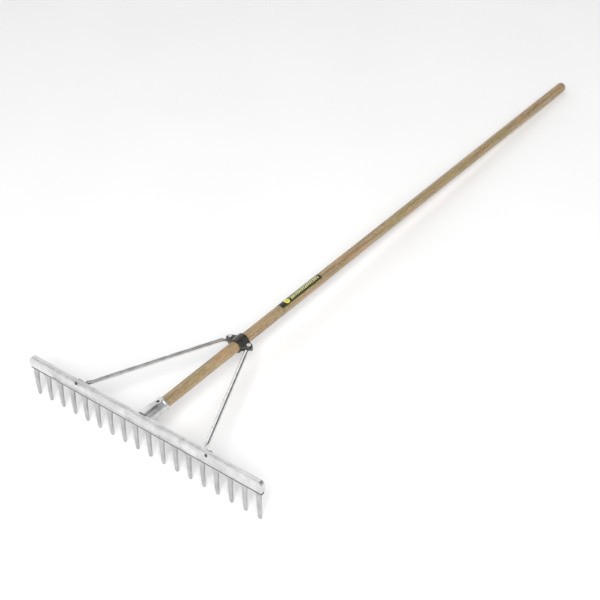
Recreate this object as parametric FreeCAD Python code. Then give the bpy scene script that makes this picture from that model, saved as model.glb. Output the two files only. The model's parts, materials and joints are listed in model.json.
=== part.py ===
import FreeCAD, Part

import math
import os

# A wide aluminium rake: an eighteen-tine head with a cast handle socket, a long ash handle,
# and two tubular stays that run from the head to a clamp on the handle.
#
# Millimetres. The rake is drawn square to its handle: X runs along the head, +Y runs up the
# handle towards the user, +Z is away from the tines, and the handle's axis is the line x = z = 0.
# At the end every piece is laid on level ground, standing on its tine tips and its handle end.

# Head
tine_count = 18
tine_pitch = 40.0
bar_end_margin = 11.0
bar_top = 17.0
bar_bottom = -18.0
bar_back = 13.0
bar_wall = 4.2
bar_corner_radius = 9.0
web_front = 2.0
web_back = 9.0
web_height = 6.0
ledge_height = 3.5
face_foot_set = 1.4
face_foot_rise = 2.0
face_top_set = 0.2
face_bulge = 2.5
crest_height = 3.4
crest_depth = 3.2
crest_round = 0.9
back_foot_height = 9.0
back_step_height = 4.0
bead_radius = 3.6
bead_proud = 2.0
bead_height = 12.0
bead_end_margin = 76.0
face_at_bead = 2.6
valley_radius = 2.6
valley_depth = 1.1
valley_inset = 6.0
undercut_radius = 1.7
undercut_height = 4.8
undercut_set = 0.8
rib_thickness = 4.0
pocket_ceiling_wall = 5.0
pocket_corner = 4.0
pocket_corner_wall = 2.6
pocket_shoulder = 10.0
pocket_shoulder_wall = 1.2
pocket_foot_wall = 2.2

# Tines
tine_length = 75.2
tine_root_width = 12.4
tine_tip_width = 8.8
tine_tip_depth = 4.2
tine_flare_radius = 8.0
tine_lean = 1.5
tine_bow = 0.5
tine_edge_radius = 1.3

# Handle
handle_radius = 14.0
grip_radius = 13.5
handle_length = 1829.0
handle_foot_radius = 12.4
handle_foot_chamfer = 1.5
handle_dome = 9.0
grip_start = 900.0
taper_start = 700.0

# Socket and its screw
socket_mouth = 80.0
socket_depth = 49.0
socket_wall = 3.4
socket_root_radius = 19.0
socket_clearance = 0.15
socket_floor_gap = 0.5
collar_length = 8.0
collar_proud = 0.7
collar_slope = 1.5
mouth_chamfer = 0.8
spine_half_width = 12.4
spine_length = 42.0
spine_proud = 2.2
screw_station = 64.0
screw_sink = 2.0
screw_head_radius = 4.0
screw_head_height = 2.2
screw_shank_radius = 2.1
screw_length = 22.0
screw_point_length = 4.0
screw_point_radius = 0.3
screw_cross_width = 0.9
screw_cross_reach = 2.5
screw_cross_depth = 1.4
screw_boss_radius = 6.5
fastener_clearance = 0.1

# Stays
stay_radius = 6.0
stay_wall = 1.3
stay_seam = 0.4
stay_seam_edge = 2.3
stay_head_flattening = 14.0
stay_clamp_flattening = 12.0
stay_ear_gap = 0.5
stay_bend_radius = 5.0
stay_bend_inset = 12.0
stay_end_height = 10.0
rivet_station = 197.5
rivet_height = 13.0
rivet_radius = 2.0
rivet_head_radius = 3.7
rivet_head_height = 2.0
rivet_seat = 1.4
rivet_seat_clearance = 0.8
boss_half_width = 9.5

# Clamp
clamp_station = 346.0
clamp_length = 32.0
clamp_wall = 4.0
clamp_clearance = 0.2
clamp_fillet = 6.0
ear_thickness = 4.0
ear_radius = 9.3
ear_root_inset = 2.0
bolt_head_gap = 2.1
bolt_radius = 3.0
bolt_hole_clearance = 0.3
bolt_head_flats = 10.0
bolt_head_height = 4.0
hexagon_chamfer = 0.6
nut_height = 5.0
washer_radius = 6.0
washer_thickness = 1.2
bolt_tail = 2.5

# Handle sticker
label_start = 500.0
label_length = 157.0
label_half_angle = 45.0
label_thickness = 0.25
label_gap = 0.03

# Sizes that follow from those above
bar_length = tine_pitch * (tine_count - 1) + 2 * bar_end_margin
handle_start = socket_mouth - socket_depth
handle_end = handle_start + handle_length
web_middle = (web_front + web_back) / 2
web_top = bar_bottom + ledge_height
root_bottom = bar_bottom - tine_flare_radius
tine_tip = bar_bottom - tine_length
stay_flat_thickness = 2 * stay_wall
stay_flat_width = math.pi * (stay_radius - stay_wall) + stay_flat_thickness
ear_gap = stay_flat_thickness / 2
ear_top = ear_gap + ear_thickness
clamp_bore_radius = handle_radius + clamp_clearance
clamp_outer_radius = clamp_bore_radius + clamp_wall
clamp_fillet_reach = clamp_outer_radius + clamp_fillet
clamp_fillet_z = ear_top + clamp_fillet
clamp_fillet_x = math.sqrt(clamp_fillet_reach ** 2 - clamp_fillet_z ** 2)
bolt_head_corner = bolt_head_flats / math.sqrt(3)
bolt_x = clamp_fillet_x + bolt_head_corner + bolt_head_gap
socket_mouth_radius = handle_radius + socket_clearance + socket_wall
boss_top = socket_mouth_radius + collar_proud
screw_top = boss_top - screw_sink
tine_shoulder = bar_end_margin - tine_root_width / 2
end_inner_radius = 0.3 * tine_shoulder
end_foot_radius = 0.65 * tine_shoulder

margin = 1.0
tolerance = 0.01
X_AXIS = FreeCAD.Vector(1, 0, 0)
Y_AXIS = FreeCAD.Vector(0, 1, 0)
Z_AXIS = FreeCAD.Vector(0, 0, 1)


# Helpers

def point(x, y, z):
    return FreeCAD.Vector(x, y, z)


def side_point(y, z):
    """A point of a section square to the head."""
    return FreeCAD.Vector(0, y, z)


def front_point(x, z):
    """A point of an outline seen along the handle."""
    return FreeCAD.Vector(x, 0, z)


def line(a, b):
    return Part.LineSegment(a, b).toShape()


def arc(a, middle, b):
    return Part.Arc(a, middle, b).toShape()


def face_of(edges):
    return Part.Face(Part.Wire(edges))


def polygon_face(points):
    return Part.Face(Part.makePolygon(points + [points[0]]))


def fused(shapes):
    return shapes[0].multiFuse(shapes[1:]).removeSplitter()


def mirrored(shape):
    """The same shape on the other side of the handle."""
    return shape.mirror(point(0, 0, 0), X_AXIS)


def rod_along_x(radius, half_length, y, z):
    """A round rod with ball ends, centred on the handle's plane."""
    rod = Part.makeCylinder(radius, 2 * half_length, point(-half_length, y, z), X_AXIS)
    balls = [Part.makeSphere(radius, point(x, y, z)) for x in (-half_length, half_length)]
    return fused([rod] + balls)


def turned(points, axis_point, axis, angle=360.0):
    """The solid swept by a closed outline about an axis."""
    return polygon_face(points).revolve(axis_point, axis, angle)


def turned_on_handle(stations):
    """A round solid on the handle's axis, from (station, radius) pairs."""
    first, last = stations[0][0], stations[-1][0]
    outline = [side_point(first, 0)] + [side_point(y, r) for y, r in stations] + [side_point(last, 0)]
    return turned(outline, point(0, 0, 0), Y_AXIS)


# Head bar

def bar_face_edges():
    """The front of the bar's section, from the web's ledge to the top of the back lip."""
    ledge = side_point(web_front, web_top)
    face_start = side_point(web_front - face_foot_set, web_top + face_foot_rise)
    face_end = side_point(web_front - face_top_set, bar_top - crest_height)
    middle_y = (face_start.y + face_end.y) / 2 - face_bulge
    face_middle = side_point(middle_y, (face_start.z + face_end.z) / 2)
    crest_middle = side_point(web_front + crest_round, bar_top - crest_round)
    crest_end = side_point(web_front + crest_depth, bar_top)
    lip = side_point(bar_back, bar_top)
    return [
        line(ledge, face_start),
        arc(face_start, face_middle, face_end),
        arc(face_end, crest_middle, crest_end),
        line(crest_end, lip),
    ]


def bar_back_edges():
    """The back of the bar's section, from the top lip down to the web, and across the web."""
    corners = [
        side_point(bar_back, bar_top),
        side_point(bar_back, bar_bottom + back_foot_height),
        side_point(web_back, bar_bottom + back_step_height),
        side_point(web_back, web_top),
        side_point(web_front, web_top),
    ]
    return [line(a, b) for a, b in zip(corners, corners[1:])]


def bar_front_outline():
    """The bar above its web, seen from the front, with its top corners well rounded."""
    half = bar_length / 2
    r = bar_corner_radius
    bend = r * math.sqrt(0.5)
    edges = []
    for side in (-1, 1):
        foot = front_point(side * half, web_top)
        on_end = front_point(side * half, bar_top - r)
        middle = front_point(side * (half - r + bend), bar_top - r + bend)
        on_top = front_point(side * (half - r), bar_top)
        edges.append(line(foot, on_end))
        edges.append(arc(on_end, middle, on_top))
    edges.append(line(front_point(-half, web_top), front_point(half, web_top)))
    edges.append(line(front_point(r - half, bar_top), front_point(half - r, bar_top)))
    return face_of(Part.__sortEdges__(edges))


def pocket_section():
    """A back hollow's section: a level ceiling, a front wall that follows the face, and a level floor."""
    ceiling = bar_top - bar_wall
    floor = bar_bottom + web_height
    deep = bar_back + margin
    on_ceiling = side_point(web_front + pocket_ceiling_wall, ceiling)
    corner = side_point(web_front + pocket_corner_wall, ceiling - pocket_corner)
    shoulder = side_point(web_front + pocket_shoulder_wall, ceiling - pocket_shoulder)
    foot = side_point(web_front + pocket_foot_wall, floor)
    return face_of([
        line(side_point(deep, ceiling), on_ceiling),
        arc(on_ceiling, corner, shoulder),
        line(shoulder, foot),
        line(foot, side_point(deep, floor)),
        line(side_point(deep, floor), side_point(deep, ceiling)),
    ])


def back_pockets():
    """The hollows in the bar's back, between its ends, cross ribs, stay bosses and socket block."""
    centre_block = socket_root_radius + spine_proud + bar_wall
    boss_inner = rivet_station - boss_half_width
    boss_outer = rivet_station + boss_half_width
    end_wall = bar_length / 2 - bar_wall
    inner_rib = (centre_block + boss_inner) / 2
    outer_rib = (boss_outer + end_wall) / 2
    spans = [
        (centre_block, inner_rib - rib_thickness / 2),
        (inner_rib + rib_thickness / 2, boss_inner),
        (boss_outer, outer_rib - rib_thickness / 2),
        (outer_rib + rib_thickness / 2, end_wall),
    ]
    section = pocket_section()
    pockets = []
    for start, end in spans:
        pocket = section.extrude(X_AXIS * (end - start))
        pocket.translate(X_AXIS * start)
        pockets += [pocket, mirrored(pocket)]
    return pockets


def tine_gap():
    """The space between two tines from the web down, with its upper corners rounded."""
    half = (tine_pitch - tine_root_width) / 2
    r = tine_flare_radius
    bend = r * math.sqrt(0.5)
    edges = []
    for side in (-1, 1):
        low = front_point(side * half, root_bottom - margin)
        on_tine = front_point(side * half, root_bottom)
        middle = front_point(side * (half - r + bend), root_bottom + bend)
        on_web = front_point(side * (half - r), bar_bottom)
        edges.append(line(low, on_tine))
        edges.append(arc(on_tine, middle, on_web))
    edges.append(line(front_point(-half, root_bottom - margin), front_point(half, root_bottom - margin)))
    edges.append(line(front_point(r - half, bar_bottom), front_point(half - r, bar_bottom)))
    return through_web(edges)


def end_gap():
    """The space outside the last tine: up its side, then round the foot of the bar's end."""
    end = bar_length / 2
    tine_side = end - tine_shoulder
    r = end_inner_radius
    foot_r = end_foot_radius
    corner = 1 - math.sqrt(0.5)
    low = front_point(tine_side, root_bottom - margin)
    on_tine = front_point(tine_side, bar_bottom - r)
    inner_middle = front_point(tine_side + r * corner, bar_bottom - r * corner)
    web_start = front_point(tine_side + r, bar_bottom)
    web_end = front_point(end - foot_r, bar_bottom)
    outer_middle = front_point(end - foot_r * corner, bar_bottom + foot_r * corner)
    on_end = front_point(end, bar_bottom + foot_r)
    far_top = front_point(end + margin, bar_bottom + foot_r)
    far_bottom = front_point(end + margin, root_bottom - margin)
    edges = [
        line(low, on_tine),
        arc(on_tine, inner_middle, web_start),
        line(web_start, web_end),
        arc(web_end, outer_middle, on_end),
        line(on_end, far_top),
        line(far_top, far_bottom),
        line(far_bottom, low),
    ]
    return through_web(edges)


def through_web(edges):
    """A cutter of that outline, from before the web to behind it."""
    cutter = face_of(Part.__sortEdges__(edges)).extrude(Y_AXIS * (web_back - web_front + 2 * margin))
    cutter.translate(Y_AXIS * (web_front - margin))
    return cutter


def comb_root():
    """The web's foot with the flared roots of all the tines, down to where their straight sides begin."""
    half = bar_length / 2
    strip = Part.makeBox(
        bar_length,
        web_back - web_front,
        web_top - root_bottom,
        point(-half, web_front, root_bottom),
    )
    gaps = [end_gap(), mirrored(end_gap())]
    for index in range(tine_count - 1):
        gap = tine_gap()
        gap.translate(X_AXIS * ((index - (tine_count - 2) / 2) * tine_pitch))
        gaps.append(gap)
    strip = strip.cut(gaps)
    low = root_bottom + tolerance
    high = web_top - tolerance
    rounded = [
        edge
        for edge in strip.Edges
        if edge.BoundBox.YLength < tolerance and low < edge.CenterOfMass.z < high
    ]
    return strip.makeFillet(tine_edge_radius, rounded)


def bar_blank():
    """The bar's section along the whole head, trimmed to the rounded outline."""
    section = face_of(Part.__sortEdges__(bar_face_edges() + bar_back_edges()))
    blank = section.extrude(X_AXIS * bar_length)
    blank.translate(X_AXIS * (-bar_length / 2))
    outline = bar_front_outline().extrude(Y_AXIS * (4 * bar_back))
    outline.translate(Y_AXIS * (-2 * bar_back))
    return blank.common(outline)


def rivet_ways():
    """For each rivet, a hole through the bar and a seat for its head in the face."""
    hole_radius = rivet_radius + fastener_clearance
    seat_radius = rivet_head_radius + rivet_seat_clearance
    before = 2 * bar_back
    ways = []
    for side in (-1, 1):
        start = point(side * rivet_station, -before, rivet_height)
        ways.append(Part.makeCylinder(hole_radius, 2 * before, start, Y_AXIS))
        ways.append(Part.makeCylinder(seat_radius, before + rivet_seat, start, Y_AXIS))
    return ways


def rake_bar():
    """The head's bar: a bead along its face, a groove under the face and a valley along its top."""
    detail_half = bar_length / 2 - bead_end_margin
    bead_y = web_front - face_at_bead - bead_proud + bead_radius
    bead = rod_along_x(bead_radius, detail_half, bead_y, bar_bottom + bead_height)
    valley_z = bar_top + valley_radius - valley_depth
    valley = rod_along_x(valley_radius, detail_half, bar_back - valley_inset, valley_z)
    undercut_half = bar_length / 2 - bar_end_margin
    undercut_z = bar_bottom + undercut_height
    undercut = rod_along_x(undercut_radius, undercut_half, web_front - undercut_set, undercut_z)
    bar = fused([bar_blank(), bead, comb_root()])
    return bar.cut([valley, undercut] + back_pockets() + rivet_ways())


# Tines

def touch_angle(reach, radius):
    """The angle at a circle's centre between a point at that reach and where the point's tangent touches."""
    return math.acos(radius / reach)


def tine_front_face():
    """One tine seen from the front: straight sides that run onto a round tip."""
    root = tine_root_width / 2
    tip = tine_tip_width / 2
    centre_z = tine_tip + tip
    rise = root_bottom - centre_z
    towards_root = math.atan2(rise, root)
    angle = towards_root - touch_angle(math.hypot(root, rise), tip)
    touch_x = tip * math.cos(angle)
    touch_z = centre_z + tip * math.sin(angle)
    right, left = front_point(touch_x, touch_z), front_point(-touch_x, touch_z)
    top_right, top_left = front_point(root, root_bottom), front_point(-root, root_bottom)
    return face_of([
        line(top_left, top_right),
        line(top_right, right),
        arc(right, front_point(0, tine_tip), left),
        line(left, top_left),
    ])


def tine_side_face():
    """One tine seen from its side: it thins towards its tip and bows a little."""
    tip_y = web_middle - tine_lean
    middle_z = (root_bottom + tine_tip) / 2
    middle_y = (web_middle + tip_y) / 2 - tine_bow
    root_half = (web_back - web_front) / 2
    tip_half = tine_tip_depth / 2
    middle_half = (root_half + tip_half) / 2

    def edge(side):
        top = side_point(web_middle + side * root_half, root_bottom)
        middle = side_point(middle_y + side * middle_half, middle_z)
        bottom = side_point(tip_y + side * tip_half, tine_tip)
        return arc(top, middle, bottom)

    front, back = edge(-1), edge(1)
    top_edge = line(side_point(web_front, root_bottom), side_point(web_back, root_bottom))
    tip_edge = line(side_point(tip_y - tip_half, tine_tip), side_point(tip_y + tip_half, tine_tip))
    return face_of(Part.__sortEdges__([front, back, top_edge, tip_edge]))


def tine():
    front = tine_front_face().extrude(Y_AXIS * (web_back - web_front + 2 * tine_pitch))
    front.translate(Y_AXIS * (web_front - tine_pitch))
    side = tine_side_face().extrude(X_AXIS * (2 * tine_root_width))
    side.translate(X_AXIS * -tine_root_width)
    blank = front.common(side)
    rounded = [
        edge
        for edge in blank.Edges
        if edge.CenterOfMass.z < root_bottom - tolerance and edge.BoundBox.YLength < edge.Length / 2
    ]
    return blank.makeFillet(tine_edge_radius, rounded)


def tines():
    blank = tine()
    made = {}
    for index in range(tine_count):
        copy = blank.copy()
        copy.translate(X_AXIS * ((index - (tine_count - 1) / 2) * tine_pitch))
        made["tine_%02d" % (index + 1)] = copy
    return made


# Handle, socket and screw

def handle_screw():
    """A countersunk cross-head screw, entering from the top of the socket."""
    top = point(0, screw_station, screw_top)
    shank_start = top - Z_AXIS * screw_head_height
    shank_length = screw_length - screw_head_height - screw_point_length
    point_start = shank_start - Z_AXIS * shank_length
    head = Part.makeCone(screw_head_radius, screw_shank_radius, screw_head_height, top, -Z_AXIS)
    shank = Part.makeCylinder(screw_shank_radius, shank_length, shank_start, -Z_AXIS)
    tip = Part.makeCone(screw_shank_radius, screw_point_radius, screw_point_length, point_start, -Z_AXIS)
    return fused([head, shank, tip]).cut(screw_cross())


def screw_cross():
    """The cross in the screw's head."""
    reach = screw_cross_reach
    half = screw_cross_width / 2
    low = screw_top - screw_cross_depth
    high = screw_cross_depth + margin
    return fused([
        Part.makeBox(2 * reach, 2 * half, high, point(-reach, screw_station - half, low)),
        Part.makeBox(2 * half, 2 * reach, high, point(-half, screw_station - reach, low)),
    ])


def screw_way():
    """The way for the screw, a little wider than the screw itself."""
    top = point(0, screw_station, screw_top)
    head_radius = screw_head_radius + fastener_clearance
    shank_radius = screw_shank_radius + fastener_clearance
    cone_height = screw_head_height + fastener_clearance
    entry = Part.makeCylinder(head_radius, screw_sink + socket_wall, top, Z_AXIS)
    cone = Part.makeCone(head_radius, shank_radius, cone_height, top, -Z_AXIS)
    shank = Part.makeCylinder(shank_radius, screw_length, top, -Z_AXIS)
    return fused([entry, cone, shank])


def handle():
    """A round ash handle: tapered foot in the socket, slim grip, rounded end."""
    corner = handle_end - handle_dome
    end_flat = grip_radius - handle_dome
    bend = handle_dome * math.sqrt(0.5)
    stations = [
        (handle_start, 0),
        (handle_start, handle_foot_radius - handle_foot_chamfer),
        (handle_start + handle_foot_chamfer, handle_foot_radius),
        (socket_mouth, handle_radius),
        (taper_start, handle_radius),
        (grip_start, grip_radius),
        (corner, grip_radius),
    ]
    points = [side_point(y, r) for y, r in stations]
    edges = [line(a, b) for a, b in zip(points, points[1:])]
    dome_middle = side_point(corner + bend, end_flat + bend)
    edges.append(arc(points[-1], dome_middle, side_point(handle_end, end_flat)))
    edges.append(line(side_point(handle_end, end_flat), side_point(handle_end, 0)))
    edges.append(line(side_point(handle_end, 0), points[0]))
    blank = face_of(edges).revolve(point(0, 0, 0), Y_AXIS, 360)
    return blank.cut(screw_way())


def spine():
    """The socket's raised top and bottom bands, each with a round end towards the handle."""
    start = bar_back
    end = bar_back + spine_length
    body = turned_on_handle([
        (start, socket_root_radius + spine_proud),
        (end, socket_mouth_radius + spine_proud),
    ])
    straight = spine_length - spine_half_width
    tall = 3 * socket_root_radius
    low = -tall / 2
    bar = Part.makeBox(2 * spine_half_width, straight, tall, point(-spine_half_width, start, low))
    end_round = Part.makeCylinder(spine_half_width, tall, point(0, start + straight, low), Z_AXIS)
    return body.common(fused([bar, end_round]))


def handle_socket():
    collar_start = socket_mouth - collar_length
    body = turned_on_handle([
        (bar_back, socket_root_radius),
        (collar_start, socket_mouth_radius),
        (collar_start + collar_slope, socket_mouth_radius + collar_proud),
        (socket_mouth - collar_slope, socket_mouth_radius + collar_proud),
        (socket_mouth, socket_mouth_radius - mouth_chamfer),
    ])
    boss = Part.makeCylinder(screw_boss_radius, boss_top, point(0, screw_station, 0), Z_AXIS)
    bore = turned_on_handle([
        (handle_start - socket_floor_gap, handle_foot_radius + socket_clearance),
        (handle_start + handle_foot_chamfer, handle_foot_radius + socket_clearance),
        (socket_mouth, handle_radius + socket_clearance),
        (socket_mouth + margin, handle_radius + socket_clearance),
    ])
    return fused([body, spine(), boss]).cut([bore, screw_way()])


# Stays

def flat_section(centre, along, across, width, thickness):
    """A flattened tube's section: two straight sides and two round ends."""
    up = along.cross(across)
    half_straight = (width - thickness) / 2
    half = thickness / 2
    corners = [
        centre - across * half_straight + up * half,
        centre + across * half_straight + up * half,
        centre + across * half_straight - up * half,
        centre - across * half_straight - up * half,
    ]
    right = centre + across * (width / 2)
    left = centre - across * (width / 2)
    return Part.Wire([
        line(corners[0], corners[1]),
        arc(corners[1], right, corners[2]),
        line(corners[2], corners[3]),
        arc(corners[3], left, corners[0]),
    ])


def round_section(centre, along, across, radius):
    """A tube's section, in the same four stretches as a flattened one."""
    up = along.cross(across)

    def on_circle(degrees):
        angle = math.radians(degrees)
        return centre + across * (radius * math.cos(angle)) + up * (radius * math.sin(angle))

    return Part.Wire([
        arc(on_circle(135), on_circle(90), on_circle(45)),
        arc(on_circle(45), on_circle(0), on_circle(-45)),
        arc(on_circle(-45), on_circle(-90), on_circle(-135)),
        arc(on_circle(-135), on_circle(180), on_circle(135)),
    ])


def stay_route():
    """The right stay's centre line: along the bar's back, round a bend, then straight to the clamp bolt."""
    tab_y = bar_back + stay_flat_thickness / 2
    tab_start = point(rivet_station, tab_y, stay_end_height)
    bend_start = point(rivet_station - stay_bend_inset, tab_y, stay_end_height)
    bolt = point(bolt_x, clamp_station, 0)
    centre = bend_start + Y_AXIS * stay_bend_radius
    to_bolt = point(bolt.x - centre.x, bolt.y - centre.y, 0)
    heading = math.atan2(to_bolt.y, to_bolt.x) - math.asin(stay_bend_radius / to_bolt.Length)
    level = point(math.cos(heading), math.sin(heading), 0)
    bend_end = centre + point(-level.y, level.x, 0) * stay_bend_radius
    turn = math.degrees(math.pi - heading)
    return tab_start, bend_start, centre, turn, level, bend_end, bolt


def stay_body(width, thickness, radius, overrun):
    """The right stay as one solid of the given section; overrun carries it on past both its ends.

    Behind the bar the pressed end stands upright in line with the tube. At the clamp it lies level,
    flush with the tube's underside.
    """
    tab_start, bend_start, centre, turn, level, bend_end, bolt = stay_route()
    flat_start = bolt - level * (ear_radius + stay_ear_gap)
    tube_end = flat_start - level * stay_clamp_flattening + Z_AXIS * (stay_radius - ear_gap)
    slope = (tube_end - bend_end).normalize()
    tube_start = bend_end + slope * stay_head_flattening
    side_level = level.cross(Z_AXIS)
    side_slope = slope.cross(Z_AXIS).normalize()
    slope_up = side_slope.cross(slope)

    tab_end = tab_start + X_AXIS * overrun
    tab = Part.Face(flat_section(tab_end, -X_AXIS, Z_AXIS, width, thickness)).extrude(bend_start - tab_end)
    bend = Part.Face(flat_section(bend_start, -X_AXIS, Z_AXIS, width, thickness))
    bend = bend.revolve(centre, -Z_AXIS, turn)
    upright = flat_section(bend_end, level, Z_AXIS, width, thickness)
    to_round = Part.makeLoft([upright, round_section(tube_start, slope, slope_up, radius)], True)
    tube = Part.Face(round_section(tube_start, slope, slope_up, radius)).extrude(tube_end - tube_start)
    flat_end = flat_section(flat_start, level, side_level, width, thickness)
    to_flat = Part.makeLoft([round_section(tube_end, slope, side_slope, radius), flat_end], True)
    clamp_tab = Part.Face(flat_end).extrude(bolt + level * overrun - flat_start)
    return fused([tab, bend, to_round, tube, to_flat, clamp_tab])


def stay():
    """The right stay: a drawn tube, pressed flat at both ends, with a hole in each."""
    tab_start, bolt = stay_route()[0], stay_route()[-1]
    outer = stay_body(stay_flat_width, stay_flat_thickness, stay_radius, 0.0)
    half = stay_flat_width / 2
    rivet_end_start = point(tab_start.x, bar_back, tab_start.z)
    rivet_end = Part.makeCylinder(half, stay_flat_thickness, rivet_end_start, Y_AXIS)
    bolt_end = Part.makeCylinder(half, stay_flat_thickness, point(bolt.x, bolt.y, -ear_gap), Z_AXIS)
    seam_width = stay_flat_width - 2 * stay_seam_edge
    hollow = stay_body(seam_width, stay_seam, stay_radius - stay_wall, half + margin)
    hole_radius = rivet_radius + fastener_clearance
    rivet_hole = Part.makeCylinder(hole_radius, 4 * bar_back, point(rivet_station, 0, rivet_height), Y_AXIS)
    return fused([outer, rivet_end, bolt_end]).cut([hollow, rivet_hole, bolt_way(bolt.x)])


def stay_rivet():
    """A domed rivet: its head lies in the bar's face, its tail is set against the stay."""
    x = rivet_station
    tail_start = bar_back + stay_flat_thickness
    seat = point(x, rivet_seat, rivet_height)
    shank = Part.makeCylinder(rivet_radius, tail_start - rivet_seat, seat, Y_AXIS)
    head = dome(rivet_head_radius, rivet_head_height, seat, -Y_AXIS)
    tail = dome(rivet_head_radius, rivet_head_height, point(x, tail_start, rivet_height), Y_AXIS)
    return fused([shank, head, tail])


def dome(radius, height, base, direction):
    """A spherical cap standing on a flat base."""
    ball_radius = (radius ** 2 + height ** 2) / (2 * height)
    ball = Part.makeSphere(ball_radius, base - direction * (ball_radius - height))
    keep = Part.makeCylinder(radius + margin, height + margin, base, direction)
    return ball.common(keep)


# Clamp

def bolt_way(x):
    """A clearance hole for a clamp bolt, through all that the bolt holds."""
    reach = 2 * clamp_outer_radius
    radius = bolt_radius + bolt_hole_clearance
    return Part.makeCylinder(radius, 2 * reach, point(x, clamp_station, -reach), Z_AXIS)


def half_plan():
    """Plan of the clamp right of the handle: straight sides that run from the saddle onto a round ear."""
    y = clamp_station
    root_x = clamp_outer_radius - ear_root_inset
    root_y = clamp_length / 2
    reach = math.hypot(bolt_x - root_x, root_y)
    tangent = math.atan2(root_y, root_x - bolt_x) - touch_angle(reach, ear_radius)
    touch_x = bolt_x + ear_radius * math.cos(tangent)
    touch_y = ear_radius * math.sin(tangent)
    upper_touch = point(touch_x, y + touch_y, 0)
    lower_touch = point(touch_x, y - touch_y, 0)
    return face_of([
        line(point(0, y - root_y, 0), point(root_x, y - root_y, 0)),
        line(point(root_x, y - root_y, 0), lower_touch),
        arc(lower_touch, point(bolt_x + ear_radius, y, 0), upper_touch),
        line(upper_touch, point(root_x, y + root_y, 0)),
        line(point(root_x, y + root_y, 0), point(0, y + root_y, 0)),
        line(point(0, y + root_y, 0), point(0, y - root_y, 0)),
    ])


def half_section():
    """Section of the clamp's upper half right of the handle: the crown runs through a fillet onto the ear."""
    fillet = front_point(clamp_fillet_x, clamp_fillet_z)
    to_crown = fillet * (-1 / clamp_fillet_reach)
    ear_start = fillet - Z_AXIS * clamp_fillet
    crown_end = fillet + to_crown * clamp_fillet
    halfway = (to_crown - Z_AXIS).normalize()
    fillet_middle = fillet + halfway * clamp_fillet
    crown_angle = (math.pi / 2 + math.atan2(crown_end.z, crown_end.x)) / 2
    crown_middle = front_point(math.cos(crown_angle), math.sin(crown_angle)) * clamp_outer_radius
    crown_top = front_point(0, clamp_outer_radius)
    ear_end = bolt_x + ear_radius + margin
    return face_of([
        line(front_point(0, ear_gap), front_point(ear_end, ear_gap)),
        line(front_point(ear_end, ear_gap), front_point(ear_end, ear_top)),
        line(front_point(ear_end, ear_top), ear_start),
        arc(ear_start, fillet_middle, crown_end),
        arc(crown_end, crown_middle, crown_top),
        line(crown_top, front_point(0, ear_gap)),
    ])


def clamp_upper():
    """The half over the handle: a saddle with an ear on each side."""
    start = clamp_station - clamp_length / 2
    body = half_section().extrude(Y_AXIS * clamp_length)
    body.translate(Y_AXIS * start)
    right = body.common(half_plan().extrude(Z_AXIS * (2 * clamp_outer_radius)))
    bore_start = point(0, start - margin, 0)
    bore = Part.makeCylinder(clamp_bore_radius, clamp_length + 2 * margin, bore_start, Y_AXIS)
    holes = [bolt_way(side * bolt_x) for side in (-1, 1)]
    return fused([right, mirrored(right)]).cut([bore] + holes)


def clamp_lower():
    """The same half turned over."""
    half = clamp_upper()
    half.rotate(point(0, 0, 0), Y_AXIS, 180)
    return half


def hexagon(height, bottom):
    """The right bolt's hexagon, with its top and bottom corners turned down."""
    corner = bolt_head_corner
    flat_top = corner - hexagon_chamfer
    centre = point(bolt_x, clamp_station, bottom)
    points = []
    for index in range(6):
        angle = math.radians(60 * index + 30)
        points.append(centre + point(math.cos(angle), math.sin(angle), 0) * corner)
    prism = polygon_face(points).extrude(Z_AXIS * height)
    outline = [
        (0, 0),
        (flat_top, 0),
        (corner, hexagon_chamfer),
        (corner, height - hexagon_chamfer),
        (flat_top, height),
        (0, height),
    ]
    round_blank = turned([centre + point(r, 0, z) for r, z in outline], centre, Z_AXIS)
    return prism.common(round_blank)


def clamp_bolt():
    """A hexagon-head bolt with its head on the upper ear."""
    head = hexagon(bolt_head_height, ear_top)
    tail_end = -ear_top - washer_thickness - nut_height - bolt_tail
    shank_radius = bolt_radius - fastener_clearance / 2
    shank_end = point(bolt_x, clamp_station, tail_end)
    shank = Part.makeCylinder(shank_radius, ear_top - tail_end, shank_end, Z_AXIS)
    return fused([head, shank])


def clamp_washer():
    seat = point(bolt_x, clamp_station, -ear_top)
    return Part.makeCylinder(washer_radius, washer_thickness, seat, -Z_AXIS).cut(bolt_way(bolt_x))


def clamp_nut():
    bottom = -ear_top - washer_thickness - nut_height
    hole = Part.makeCylinder(bolt_radius, nut_height, point(bolt_x, clamp_station, bottom), Z_AXIS)
    return hexagon(nut_height, bottom).cut(hole)


def handle_label():
    """A thin sticker wrapped over the top of the handle."""
    inner = handle_radius + label_gap
    outer = inner + label_thickness
    start = math.radians(90 - label_half_angle)
    end = label_start + label_length
    corners = [(inner, label_start), (outer, label_start), (outer, end), (inner, end)]
    outline = [point(r * math.cos(start), y, r * math.sin(start)) for r, y in corners]
    return turned(outline, point(0, 0, 0), -Y_AXIS, 2 * label_half_angle)


# Assembly

def pair(name, right):
    return {name + "_right": right, name + "_left": mirrored(right)}


def all_pieces():
    pieces = {"rake_bar": rake_bar()}
    pieces.update(tines())
    pieces["handle_socket"] = handle_socket()
    pieces["handle"] = handle()
    pieces["handle_screw"] = handle_screw()
    pieces.update(pair("stay", stay()))
    pieces.update(pair("stay_rivet", stay_rivet()))
    pieces["clamp_upper"] = clamp_upper()
    pieces["clamp_lower"] = clamp_lower()
    pieces.update(pair("clamp_bolt", clamp_bolt()))
    pieces.update(pair("clamp_washer", clamp_washer()))
    pieces.update(pair("clamp_nut", clamp_nut()))
    pieces["handle_label"] = handle_label()
    return pieces


def tipped(shape, degrees):
    copy = shape.copy()
    copy.rotate(point(0, 0, 0), X_AXIS, degrees)
    return copy


def lowest(shape, degrees):
    return tipped(shape, degrees).optimalBoundingBox(False, False).ZMin


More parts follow.
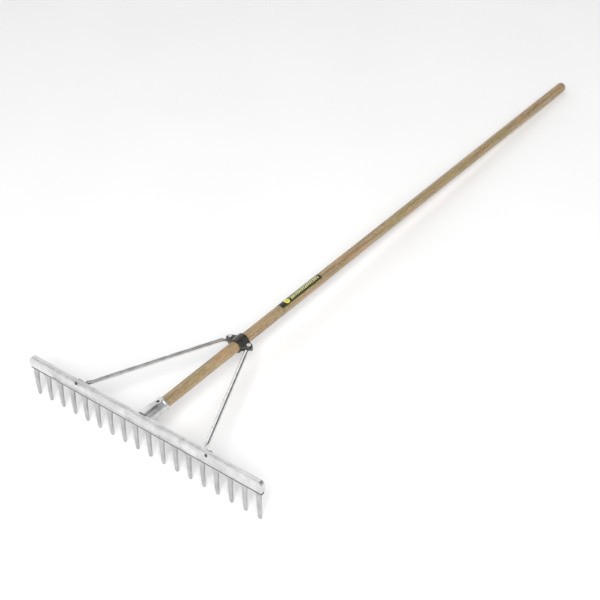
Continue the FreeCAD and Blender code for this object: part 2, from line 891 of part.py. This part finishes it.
def lay_angle(tine_piece, handle_piece):
    """The tip about X that brings the tine tips and the handle's end down to one level."""
    degrees = 0.0
    for _ in range(4):
        step = lowest(handle_piece, degrees) - lowest(tine_piece, degrees)
        degrees -= math.degrees(math.atan2(step, handle_end))
    return degrees


def laid_on_ground(pieces):
    """The pieces on level ground, with the origin under the middle of the whole rake."""
    degrees = lay_angle(pieces["tine_01"], pieces["handle"])
    laid = {name: tipped(shape, degrees) for name, shape in pieces.items()}
    box = Part.makeCompound(list(laid.values())).optimalBoundingBox(False, False)
    shift = point(-(box.XMin + box.XMax) / 2, -(box.YMin + box.YMax) / 2, -box.ZMin)
    for shape in laid.values():
        shape.translate(shift)
    print("laid at %.4f degrees, then moved by (%.3f, %.3f, %.3f) mm" % (degrees, *shift))
    return laid


os.makedirs("parts", exist_ok=True)
for node, solid in laid_on_ground(all_pieces()).items():
    solid.exportStep("parts/%s.step" % node)
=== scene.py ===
import json
import math

import bpy
from mathutils import Matrix, Vector

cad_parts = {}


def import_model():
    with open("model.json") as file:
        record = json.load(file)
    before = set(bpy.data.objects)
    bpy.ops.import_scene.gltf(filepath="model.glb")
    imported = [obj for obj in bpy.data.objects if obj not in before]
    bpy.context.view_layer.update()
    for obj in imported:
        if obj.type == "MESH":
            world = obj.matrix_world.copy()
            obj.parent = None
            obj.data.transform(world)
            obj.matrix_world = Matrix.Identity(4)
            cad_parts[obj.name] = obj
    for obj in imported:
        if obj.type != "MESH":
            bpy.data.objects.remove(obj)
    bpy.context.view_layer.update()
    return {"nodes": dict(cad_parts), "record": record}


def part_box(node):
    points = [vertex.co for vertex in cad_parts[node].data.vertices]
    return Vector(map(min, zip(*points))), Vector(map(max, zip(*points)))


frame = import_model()

# A long-handled aluminium rake lying on a pale studio floor. Metres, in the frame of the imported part:
# X along the head, +Y up the handle, +Z up from the floor. Colours are linear.

nodes = frame["nodes"]
grip = frame["record"]["mounts"][0]
handle_axis = Vector(grip["axis"])
handle_middle = Vector(grip["pos_m"])

# Camera
camera_azimuth = math.radians(40.75)
camera_elevation = math.radians(39.67)
camera_roll = math.radians(-4.05)
camera_distance = 3.7244
camera_aim = Vector((-0.1018, -0.2335, -0.0765))
camera_lens = 85.26
camera_far = 100.0

# Studio: the floor, two soft lights, and the room that the metal reflects
floor_size = 40.0
floor_color = (0.95, 0.95, 0.95)
floor_variation = 0.02
key_place = (3.6, -4.6, 5.6)
key_aim = (-0.2, 0.3, 0)
key_size = (4.5, 4.5)
key_power = 545.0
fill_place = (-1.5, -6.0, 2.4)
fill_aim = (0, -0.2, 0)
fill_size = (4.0, 2.0)
fill_power = 60.0
window_direction = Vector((-0.8, 0.3, 0.5)).normalized()
window_color = (1.05, 1.05, 1.05)
wall_tone = 0.42
seam_tone = 0.06

# Castings: darkest and lightest skin, and how fine the drag marks are along X, Y and Z
bar_dark = (0.58, 0.58, 0.585)
bar_light = (0.80, 0.80, 0.80)
bar_streaks = (6.0, 260.0, 260.0)
socket_dark = (0.56, 0.56, 0.565)
socket_light = (0.80, 0.80, 0.80)
socket_streaks = (200.0, 20.0, 200.0)
tine_dark = (0.42, 0.42, 0.425)
tine_light = (0.58, 0.58, 0.58)
tine_streaks = (420.0, 420.0, 22.0)
cloud_share = 0.6
polish_gain = 1.12

# Bar: below a level this high above the tine nodes its skin takes the tines' darker colours, and a
# painted shadow line runs along that level, under the overhang of the bar's face
root_height = 0.0125
root_fade = 0.002
groove_half_width = 0.0036
groove_core = 0.6
groove_darkness = 0.92
# Wear, and painted shade in hollows and corners

# Wear and dirt
wear_bevel = 0.0009
wear_samples = 6
shade_reach = 0.006
shade_samples = 6
hollow_darkness = 0.85
# Near-black colour that the painted shade in hollows and along the groove is mixed towards
shade_color = (0.07, 0.07, 0.072)

# Tubes and fasteners
stay_foot_inset = 0.010
tube_dark = (0.72, 0.72, 0.725)
tube_light = (0.86, 0.86, 0.86)
tube_line = (0.5, 0.5, 0.5)
tube_line_scale = (1100.0, 18.0, 1100.0)
zinc_dark = (0.50, 0.51, 0.52)
zinc_light = (0.68, 0.68, 0.67)
blackened_dark = (0.035, 0.036, 0.04)
blackened_light = (0.10, 0.10, 0.105)
bare_steel = (0.86, 0.86, 0.85)

# Clamp paint
paint_dark = (0.012, 0.012, 0.010)
paint_light = (0.034, 0.032, 0.027)
paint_worn = (0.20, 0.20, 0.20)

# Wood
wood_dark = (0.215, 0.142, 0.070)
wood_light = (0.41, 0.290, 0.157)
wood_olive = (0.27, 0.235, 0.088)
wood_orange = (0.46, 0.235, 0.10)
wood_pale_fleck = (0.53, 0.42, 0.26)
wood_dark_fleck = (0.16, 0.10, 0.046)
wood_fibre = (0.52, 0.40, 0.25)
wood_pore = (0.085, 0.048, 0.024)
wood_soil = (0.13, 0.09, 0.05)

# Sticker, measured along the handle from its lower end and round the handle from its top
disc_place = 0.026
disc_radius = 0.0085
disc_fade = 0.0008
eye_outer = 0.45
eye_inner = 0.38
marks_start = 0.038
marks_end = 0.150
marks_end_fade = 0.001
marks_half_width = 0.0056
marks_side_fade = 0.0007
mark_pitch = 0.0062
mark_lean = 0.55
mark_shake = 0.006
band_start = 0.0072
far_band_start = 0.0092
band_fade = 0.0006
film_dark = (0.007, 0.011, 0.007)
film_light = (0.022, 0.034, 0.016)
film_band = (0.075, 0.070, 0.016)
film_far_band = (0.085, 0.075, 0.018)
film_mark = (0.62, 0.61, 0.27)
film_disc = (0.76, 0.68, 0.10)
film_eye = (0.60, 0.47, 0.05)
film_rubbed = (0.22, 0.19, 0.11)


# Shader helpers

def new_material(name, roughness, metallic=0.0):
    """A principled material with the given finish."""
    material = bpy.data.materials.new(name)
    material.use_nodes = True
    tree = material.node_tree
    shader = tree.nodes["Principled BSDF"]
    shader.inputs["Roughness"].default_value = roughness
    shader.inputs["Metallic"].default_value = metallic
    return material, tree, shader


def add(tree, kind, inputs=None, **settings):
    """One shader node. An input is given a number, a colour, or the socket that feeds it."""
    made = tree.nodes.new("ShaderNode" + kind)
    for name, value in settings.items():
        setattr(made, name, value)
    for key, value in (inputs or {}).items():
        if isinstance(value, bpy.types.NodeSocket):
            tree.links.new(value, made.inputs[key])
        else:
            made.inputs[key].default_value = value
    return made


def calculate(tree, operation, *values):
    """One step of arithmetic on numbers or sockets."""
    made = add(tree, "Math", dict(enumerate(values)), operation=operation)
    return made.outputs[0]


def dot_product(tree, first, second):
    return add(tree, "VectorMath", {0: first, 1: second}, operation="DOT_PRODUCT").outputs["Value"]


def hypotenuse(tree, first, second):
    """The root of the sum of two squares."""
    first_square = calculate(tree, "MULTIPLY", first, first)
    second_square = calculate(tree, "MULTIPLY", second, second)
    return calculate(tree, "SQRT", calculate(tree, "ADD", first_square, second_square))


def place(tree):
    """The point on the piece, in the row frame."""
    return add(tree, "TexCoord").outputs["Object"]


def stretched(tree, vector, scale):
    return add(tree, "VectorMath", {0: vector, 1: scale}, operation="MULTIPLY").outputs[0]


def turned_place(tree, origin, rotation, scale=(1.0, 1.0, 1.0)):
    """The point measured from an origin along turned axes, then scaled along each."""
    local = add(
        tree,
        "Mapping",
        {"Vector": place(tree), "Location": origin, "Rotation": rotation},
        vector_type="TEXTURE",
    )
    return stretched(tree, local.outputs[0], scale)


def noise(tree, vector, scale, detail=4.0, roughness=0.55):
    inputs = {"Vector": vector, "Scale": scale, "Detail": detail, "Roughness": roughness}
    return add(tree, "TexNoise", inputs).outputs["Fac"]


def remap(tree, value, low, high, to_low=0.0, to_high=1.0):
    """A value from low to high, smoothly brought to another range."""
    inputs = {"Value": value, "From Min": low, "From Max": high, "To Min": to_low, "To Max": to_high}
    return add(tree, "MapRange", inputs, interpolation_type="SMOOTHSTEP").outputs["Result"]


def blend(tree, factor, first, second):
    """Two colours mixed by a socket's factor. Each colour is given, or is the socket that feeds it."""
    made = add(tree, "Mix", data_type="RGBA")
    for key, value in ((0, factor), (6, first), (7, second)):
        if isinstance(value, bpy.types.NodeSocket):
            tree.links.new(value, made.inputs[key])
        else:
            made.inputs[key].default_value = (*value, 1.0)
    return made.outputs[2]


def bumped(tree, height, distance, strength, under=None):
    """A surface normal moved by a height; under is the coarser bump that it sits on."""
    made = add(tree, "Bump", {"Height": height, "Distance": distance, "Strength": strength})
    if under is not None:
        tree.links.new(under, made.inputs["Normal"])
    return made.outputs[0]


def edge_wear(tree, grain):
    """1 on corners, 0 on flat stretches, broken up by the given grain."""
    bevel = add(tree, "Bevel", {"Radius": wear_bevel}, samples=wear_samples)
    sameness = dot_product(tree, bevel.outputs[0], add(tree, "NewGeometry").outputs["Normal"])
    corner = remap(tree, sameness, 0.995, 0.90)
    return calculate(tree, "MULTIPLY", corner, remap(tree, grain, 0.35, 0.6))


def hollow_shade(tree):
    """Painted shade: 1 deep in grooves and corners, 0 in the open."""
    open_air = add(tree, "AmbientOcclusion", {"Distance": shade_reach}, samples=shade_samples).outputs["AO"]
    return remap(tree, open_air, 0.85, 0.50)


def dress(names, material):
    for name in names:
        slots = nodes[name].data.materials
        slots.clear()
        slots.append(material)


# Metals

def casting_skin(tree, point, streaks):
    """A cloudy value round a half, drawn out into drag marks along one axis."""
    clouds = noise(tree, point, scale=38.0, detail=5.0, roughness=0.6)
    drags = noise(tree, stretched(tree, point, streaks), scale=1.0, detail=4.0, roughness=0.65)
    return calculate(
        tree,
        "ADD",
        calculate(tree, "MULTIPLY", clouds, cloud_share),
        calculate(tree, "MULTIPLY", drags, 1 - cloud_share),
    )


def groove_shadow(tree, height, level):
    """A painted shadow line along the groove at a level, 0 away from it."""
    distance = calculate(tree, "ABSOLUTE", calculate(tree, "SUBTRACT", height, level))
    return remap(tree, distance, groove_half_width, groove_half_width * groove_core, 0.0, groove_darkness)


def cast_metal(name, dark, light, streaks, roughness, roots=None):
    """As-cast aluminium: cloudy skin, fine grain, drag marks along one axis and rubbed corners.

    roots is the level below which the skin takes the tines' darker colours, with a painted shadow line
    along it.
    """
    material, tree, shader = new_material(name, roughness, metallic=1.0)
    point = place(tree)
    grain = noise(tree, point, scale=900.0, detail=3.0, roughness=0.6)
    skin = casting_skin(tree, point, streaks)
    shade = remap(tree, skin, 0.36, 0.64)
    base = blend(tree, shade, dark, light)
    # Painted shade: the skin is darkened towards a near-black colour in hollows and corners, and along
    # the groove
    painted_shade = calculate(tree, "MULTIPLY", hollow_shade(tree), hollow_darkness)
    if roots is not None:
        height = add(tree, "SeparateXYZ", {0: point}).outputs["Z"]
        # Below the root level the bar's skin takes the tines' darker colours
        tine_tone = blend(tree, shade, tine_dark, tine_light)
        base = blend(tree, remap(tree, height, roots, roots - root_fade), base, tine_tone)
        # Painted shadow line along the groove under the overhang of the bar's face
        painted_shade = calculate(tree, "MAXIMUM", painted_shade, groove_shadow(tree, height, roots))
    worn = calculate(tree, "MULTIPLY", edge_wear(tree, grain), 0.5)
    polished = tuple(min(1.0, channel * polish_gain) for channel in light)
    base = blend(tree, worn, base, polished)
    tree.links.new(blend(tree, painted_shade, base, shade_color), shader.inputs["Base Color"])
    rough = remap(tree, skin, 0.3, 0.7, roughness - 0.07, roughness + 0.09)
    rough = calculate(tree, "ADD", rough, calculate(tree, "MULTIPLY", painted_shade, 0.25))
    tree.links.new(rough, shader.inputs["Roughness"])
    ripple = bumped(tree, noise(tree, point, scale=120.0, detail=3.0), distance=0.0002, strength=0.12)
    normal = bumped(tree, grain, distance=0.00009, strength=0.4, under=ripple)
    tree.links.new(normal, shader.inputs["Normal"])
    return material


def drawn_tube(name, along):
    """Bright drawn tube: fine draw lines along its level direction, faint handling marks."""
    material, tree, shader = new_material(name, roughness=0.18, metallic=1.0)
    turn = (0.0, 0.0, math.atan2(-along.x, along.y))
    lines_place = turned_place(tree, (0.0, 0.0, 0.0), turn, tube_line_scale)
    lines = noise(tree, lines_place, scale=1.0, detail=3.0, roughness=0.6)
    marks = noise(tree, place(tree), scale=70.0, detail=5.0, roughness=0.6)
    base = blend(tree, remap(tree, marks, 0.35, 0.65), tube_dark, tube_light)
    base = blend(tree, remap(tree, lines, 0.55, 0.75, 0.0, 0.35), base, tube_line)
    tree.links.new(base, shader.inputs["Base Color"])
    tree.links.new(remap(tree, marks, 0.3, 0.7, 0.14, 0.24), shader.inputs["Roughness"])
    tree.links.new(bumped(tree, lines, distance=0.000012, strength=0.3), shader.inputs["Normal"])
    return material


def fastener_steel(name, dark, light, roughness):
    """Plated or blackened steel, a little uneven, rubbed bare at its corners."""
    material, tree, shader = new_material(name, roughness, metallic=1.0)
    point = place(tree)
    clouds = noise(tree, point, scale=260.0, detail=4.0, roughness=0.6)
    grain = noise(tree, point, scale=2200.0, detail=2.0)
    base = blend(tree, remap(tree, clouds, 0.35, 0.65), dark, light)
    worn = calculate(tree, "MULTIPLY", edge_wear(tree, grain), 0.6)
    tree.links.new(blend(tree, worn, base, bare_steel), shader.inputs["Base Color"])
    rough = remap(tree, clouds, 0.3, 0.7, roughness - 0.06, roughness + 0.1)
    tree.links.new(rough, shader.inputs["Roughness"])
    tree.links.new(bumped(tree, grain, distance=0.00006, strength=0.5), shader.inputs["Normal"])
    return material


def black_paint():
    """Semi-gloss black paint over steel: cloudy tone, orange peel, thin grey corners."""
    material, tree, shader = new_material("black_paint", roughness=0.3)
    point = place(tree)
    clouds = noise(tree, point, scale=90.0, detail=5.0, roughness=0.6)
    grain = noise(tree, point, scale=1600.0, detail=2.0)
    base = blend(tree, remap(tree, clouds, 0.35, 0.65), paint_dark, paint_light)
    worn = calculate(tree, "MULTIPLY", edge_wear(tree, grain), 0.5)
    tree.links.new(blend(tree, worn, base, paint_worn), shader.inputs["Base Color"])
    shader.inputs["Specular IOR Level"].default_value = 0.4
    tree.links.new(remap(tree, clouds, 0.3, 0.7, 0.22, 0.42), shader.inputs["Roughness"])
    shader.inputs["Coat Weight"].default_value = 0.35
    shader.inputs["Coat Roughness"].default_value = 0.18
    peel = bumped(tree, noise(tree, point, scale=420.0, detail=2.0), distance=0.0003, strength=0.35)
    normal = bumped(tree, grain, distance=0.00004, strength=0.4, under=peel)
    tree.links.new(normal, shader.inputs["Normal"])
    return material


# Wood and sticker, in the handle's own axes

def handle_place(tree, scale=(1.0, 1.0, 1.0), origin=handle_middle):
    """The point in the handle's own axes: Y along it and Z towards its top."""
    tilt = (math.atan2(handle_axis.z, handle_axis.y), 0.0, 0.0)
    return turned_place(tree, origin, tilt, scale)


def wood_noise(tree, across, along, detail=4.0, roughness=0.6):
    """Noise drawn out along the handle; across and along say how fine it is in each direction."""
    return noise(tree, handle_place(tree, (across, along, across)), 1.0, detail, roughness)


def ash():
    """Lacquered ash: growth bands, open pores in long dashes, olive and orange patches."""
    material, tree, shader = new_material("ash", roughness=0.42)
    patches = wood_noise(tree, across=40.0, along=9.0)
    bands = wood_noise(tree, across=170.0, along=5.0, detail=5.0, roughness=0.62)
    flecks = wood_noise(tree, across=420.0, along=75.0)
    fibre = wood_noise(tree, across=900.0, along=13.0)
    pores = wood_noise(tree, across=1500.0, along=60.0, detail=2.0, roughness=0.5)
    soil = noise(tree, place(tree), scale=260.0, detail=5.0, roughness=0.7)
    pore = remap(tree, pores, 0.60, 0.70, 0.0, 0.75)
    wood = blend(tree, remap(tree, bands, 0.36, 0.62), wood_dark, wood_light)
    for layer, color in (
        (remap(tree, patches, 0.50, 0.62, 0.0, 0.6), wood_olive),
        (remap(tree, patches, 0.48, 0.36, 0.0, 0.55), wood_orange),
        (remap(tree, flecks, 0.52, 0.66, 0.0, 0.5), wood_pale_fleck),
        (remap(tree, flecks, 0.46, 0.34, 0.0, 0.55), wood_dark_fleck),
        (remap(tree, fibre, 0.42, 0.66, 0.0, 0.35), wood_fibre),
        (pore, wood_pore),
        (remap(tree, soil, 0.58, 0.8, 0.0, 0.4), wood_soil),
    ):
        wood = blend(tree, layer, wood, color)
    tree.links.new(wood, shader.inputs["Base Color"])
    tree.links.new(remap(tree, fibre, 0.3, 0.7, 0.36, 0.56), shader.inputs["Roughness"])
    shader.inputs["Coat Weight"].default_value = 0.25
    shader.inputs["Coat Roughness"].default_value = 0.3
    figure = bumped(tree, fibre, distance=0.00025, strength=0.5)
    filled = calculate(tree, "SUBTRACT", 1.0, pore)
    normal = bumped(tree, filled, distance=0.0002, strength=0.6, under=figure)
    tree.links.new(normal, shader.inputs["Normal"])
    return material


def label_origin():
    """The point on the handle's axis under the sticker's lower end."""
    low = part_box("handle_label")[0]
    along = (low.y - handle_middle.y) / handle_axis.y
    return handle_middle + handle_axis * along


def label_place(tree):
    """How far the point is along the sticker, and how far round the handle from its top."""
    across, along, up = add(tree, "SeparateXYZ", {0: handle_place(tree, origin=label_origin())}).outputs
    turn = calculate(tree, "ARCTAN2", across, up)
    return along, calculate(tree, "MULTIPLY", turn, hypotenuse(tree, across, up))


def film_ground(tree, clouds, round_top):
    """Dark film with an olive band along each side."""
    ground = blend(tree, remap(tree, clouds, 0.35, 0.65), film_dark, film_light)
    band = remap(tree, round_top, band_start, band_start + band_fade)
    ground = blend(tree, band, ground, film_band)
    far_band = remap(tree, round_top, -far_band_start, -far_band_start - band_fade)
    return blend(tree, far_band, ground, film_far_band)


def film_strokes(tree, along, round_top, shake):
    """1 on a row of slanted strokes, 0 between them and past the ends of the row."""
    lean = calculate(tree, "MULTIPLY", round_top, mark_lean)
    run = calculate(tree, "ADD", calculate(tree, "ADD", along, lean), shake)
    phase = calculate(tree, "FRACT", calculate(tree, "DIVIDE", run, mark_pitch))
    from_stroke = calculate(tree, "ABSOLUTE", calculate(tree, "SUBTRACT", phase, 0.5))
    stroke = remap(tree, from_stroke, 0.34, 0.26)
    height = calculate(tree, "ABSOLUTE", round_top)
    inside = remap(tree, height, marks_half_width, marks_half_width - marks_side_fade)
    begun = remap(tree, along, marks_start, marks_start + marks_end_fade)
    ended = remap(tree, along, marks_end, marks_end - marks_end_fade)
    strokes = calculate(tree, "MULTIPLY", stroke, inside)
    return calculate(tree, "MULTIPLY", strokes, calculate(tree, "MULTIPLY", begun, ended))


def with_disc(tree, printed, along, round_top):
    """The print with a yellow disc on it that is darker in its middle."""
    reach = hypotenuse(tree, calculate(tree, "SUBTRACT", along, disc_place), round_top)
    disc = remap(tree, reach, disc_radius, disc_radius - disc_fade)
    printed = blend(tree, disc, printed, film_disc)
    eye = remap(tree, reach, disc_radius * eye_outer, disc_radius * eye_inner)
    return blend(tree, eye, printed, film_eye)


def sticker():
    """A glossy printed film: dark ground, a yellow disc, a row of slanted strokes and olive bands."""
    material, tree, shader = new_material("sticker", roughness=0.28)
    along, round_top = label_place(tree)
    point = place(tree)
    speckle = noise(tree, point, scale=700.0, detail=4.0, roughness=0.65)
    clouds = noise(tree, point, scale=80.0, detail=3.0)
    shake = calculate(tree, "MULTIPLY", noise(tree, point, scale=240.0, detail=1.0), mark_shake)
    strokes = film_strokes(tree, along, round_top, shake)
    printed = blend(tree, strokes, film_ground(tree, clouds, round_top), film_mark)
    printed = with_disc(tree, printed, along, round_top)
    rubbed = blend(tree, remap(tree, speckle, 0.62, 0.8, 0.0, 0.5), printed, film_rubbed)
    tree.links.new(rubbed, shader.inputs["Base Color"])
    tree.links.new(remap(tree, speckle, 0.3, 0.7, 0.22, 0.42), shader.inputs["Roughness"])
    tree.links.new(bumped(tree, clouds, distance=0.0004, strength=0.3), shader.inputs["Normal"])
    return material


# Stage

def floor():
    """A pale sheet, faintly uneven."""
    half = floor_size / 2
    mesh = bpy.data.meshes.new("studio_floor")
    corners = [(-half, -half, 0), (half, -half, 0), (half, half, 0), (-half, half, 0)]
    mesh.from_pydata(corners, [], [(0, 1, 2, 3)])
    floor_object = bpy.data.objects.new("studio_floor", mesh)
    bpy.context.scene.collection.objects.link(floor_object)
    material, tree, shader = new_material("pale_floor", roughness=0.85)
    tone = remap(tree, noise(tree, place(tree), scale=3.0), 0.3, 0.7)
    lighter = tuple(channel + floor_variation for channel in floor_color)
    tree.links.new(blend(tree, tone, floor_color, lighter), shader.inputs["Base Color"])
    mesh.materials.append(material)


def area_light(name, position, target, size, power):
    data = bpy.data.lights.new(name, "AREA")
    data.shape = "RECTANGLE"
    data.size = size[0]
    data.size_y = size[1]
    data.energy = power
    light = bpy.data.objects.new(name, data)
    light.location = position
    light.rotation_mode = "QUATERNION"
    light.rotation_quaternion = (Vector(target) - Vector(position)).to_track_quat("-Z", "Y")
    bpy.context.scene.collection.objects.link(light)


def world():
    """A studio round the rake: a bright wide window on one side, a dark seam round it, grey walls."""
    made = bpy.data.worlds.new("studio")
    made.use_nodes = True
    tree = made.node_tree
    background = tree.nodes["Background"]
    facing = dot_product(tree, add(tree, "TexCoord").outputs["Generated"], window_direction)
    walls = remap(tree, facing, 0.28, 0.46, wall_tone, seam_tone)
    window = remap(tree, facing, 0.66, 0.74)
    shade = add(tree, "CombineColor", {0: walls, 1: walls, 2: walls}).outputs[0]
    tree.links.new(blend(tree, window, shade, window_color), background.inputs["Color"])
    background.inputs["Strength"].default_value = 1.0
    bpy.context.scene.world = made


def camera():
    data = bpy.data.cameras.new("camera")
    data.lens = camera_lens
    data.clip_end = camera_far
    made = bpy.data.objects.new("camera", data)
    bpy.context.scene.collection.objects.link(made)
    back = Vector((
        math.sin(camera_azimuth) * math.cos(camera_elevation),
        -math.cos(camera_azimuth) * math.cos(camera_elevation),
        math.sin(camera_elevation),
    ))
    level = (-back).to_track_quat("-Z", "Y").to_matrix().to_4x4()
    roll = Matrix.Rotation(camera_roll, 4, "Z")
    made.matrix_world = Matrix.Translation(camera_aim + back * camera_distance) @ level @ roll
    bpy.context.scene.camera = made


def middle_of(name):
    low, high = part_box(name)
    return (low + high) / 2


def stay_direction(side):
    """The level direction of a stay's tube, from the head towards the clamp."""
    bolt = middle_of("clamp_bolt_" + side)
    foot = middle_of("stay_rivet_" + side)
    foot.x *= 1 - stay_foot_inset / abs(foot.x)
    return Vector((bolt.x - foot.x, bolt.y - foot.y, 0.0)).normalized()


root_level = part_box("tine_01")[1].z + root_height
bar_metal = cast_metal("bar_casting", bar_dark, bar_light, bar_streaks, roughness=0.32, roots=root_level)
socket_metal = cast_metal("socket_casting", socket_dark, socket_light, socket_streaks, roughness=0.33)
tine_metal = cast_metal("tine_casting", tine_dark, tine_light, tine_streaks, roughness=0.42)
zinc = fastener_steel("zinc_plate", zinc_dark, zinc_light, roughness=0.28)
dark_steel = fastener_steel("dark_steel", blackened_dark, blackened_light, roughness=0.36)

dress(["rake_bar"], bar_metal)
dress(["handle_socket"], socket_metal)
dress([name for name in nodes if name.startswith("tine_")], tine_metal)
for side in ("left", "right"):
    dress(["stay_" + side], drawn_tube("tube_" + side, stay_direction(side)))
dress(["handle"], ash())
dress(["handle_label"], sticker())
dress(["clamp_upper", "clamp_lower"], black_paint())
dress([name for name in nodes if name.startswith(("clamp_bolt", "clamp_washer", "clamp_nut"))], zinc)
dress(["handle_screw", "stay_rivet_left", "stay_rivet_right"], dark_steel)

floor()
area_light("key", key_place, key_aim, key_size, key_power)
area_light("fill", fill_place, fill_aim, fill_size, fill_power)
world()
camera()
bpy.context.scene.view_settings.view_transform = "Standard"
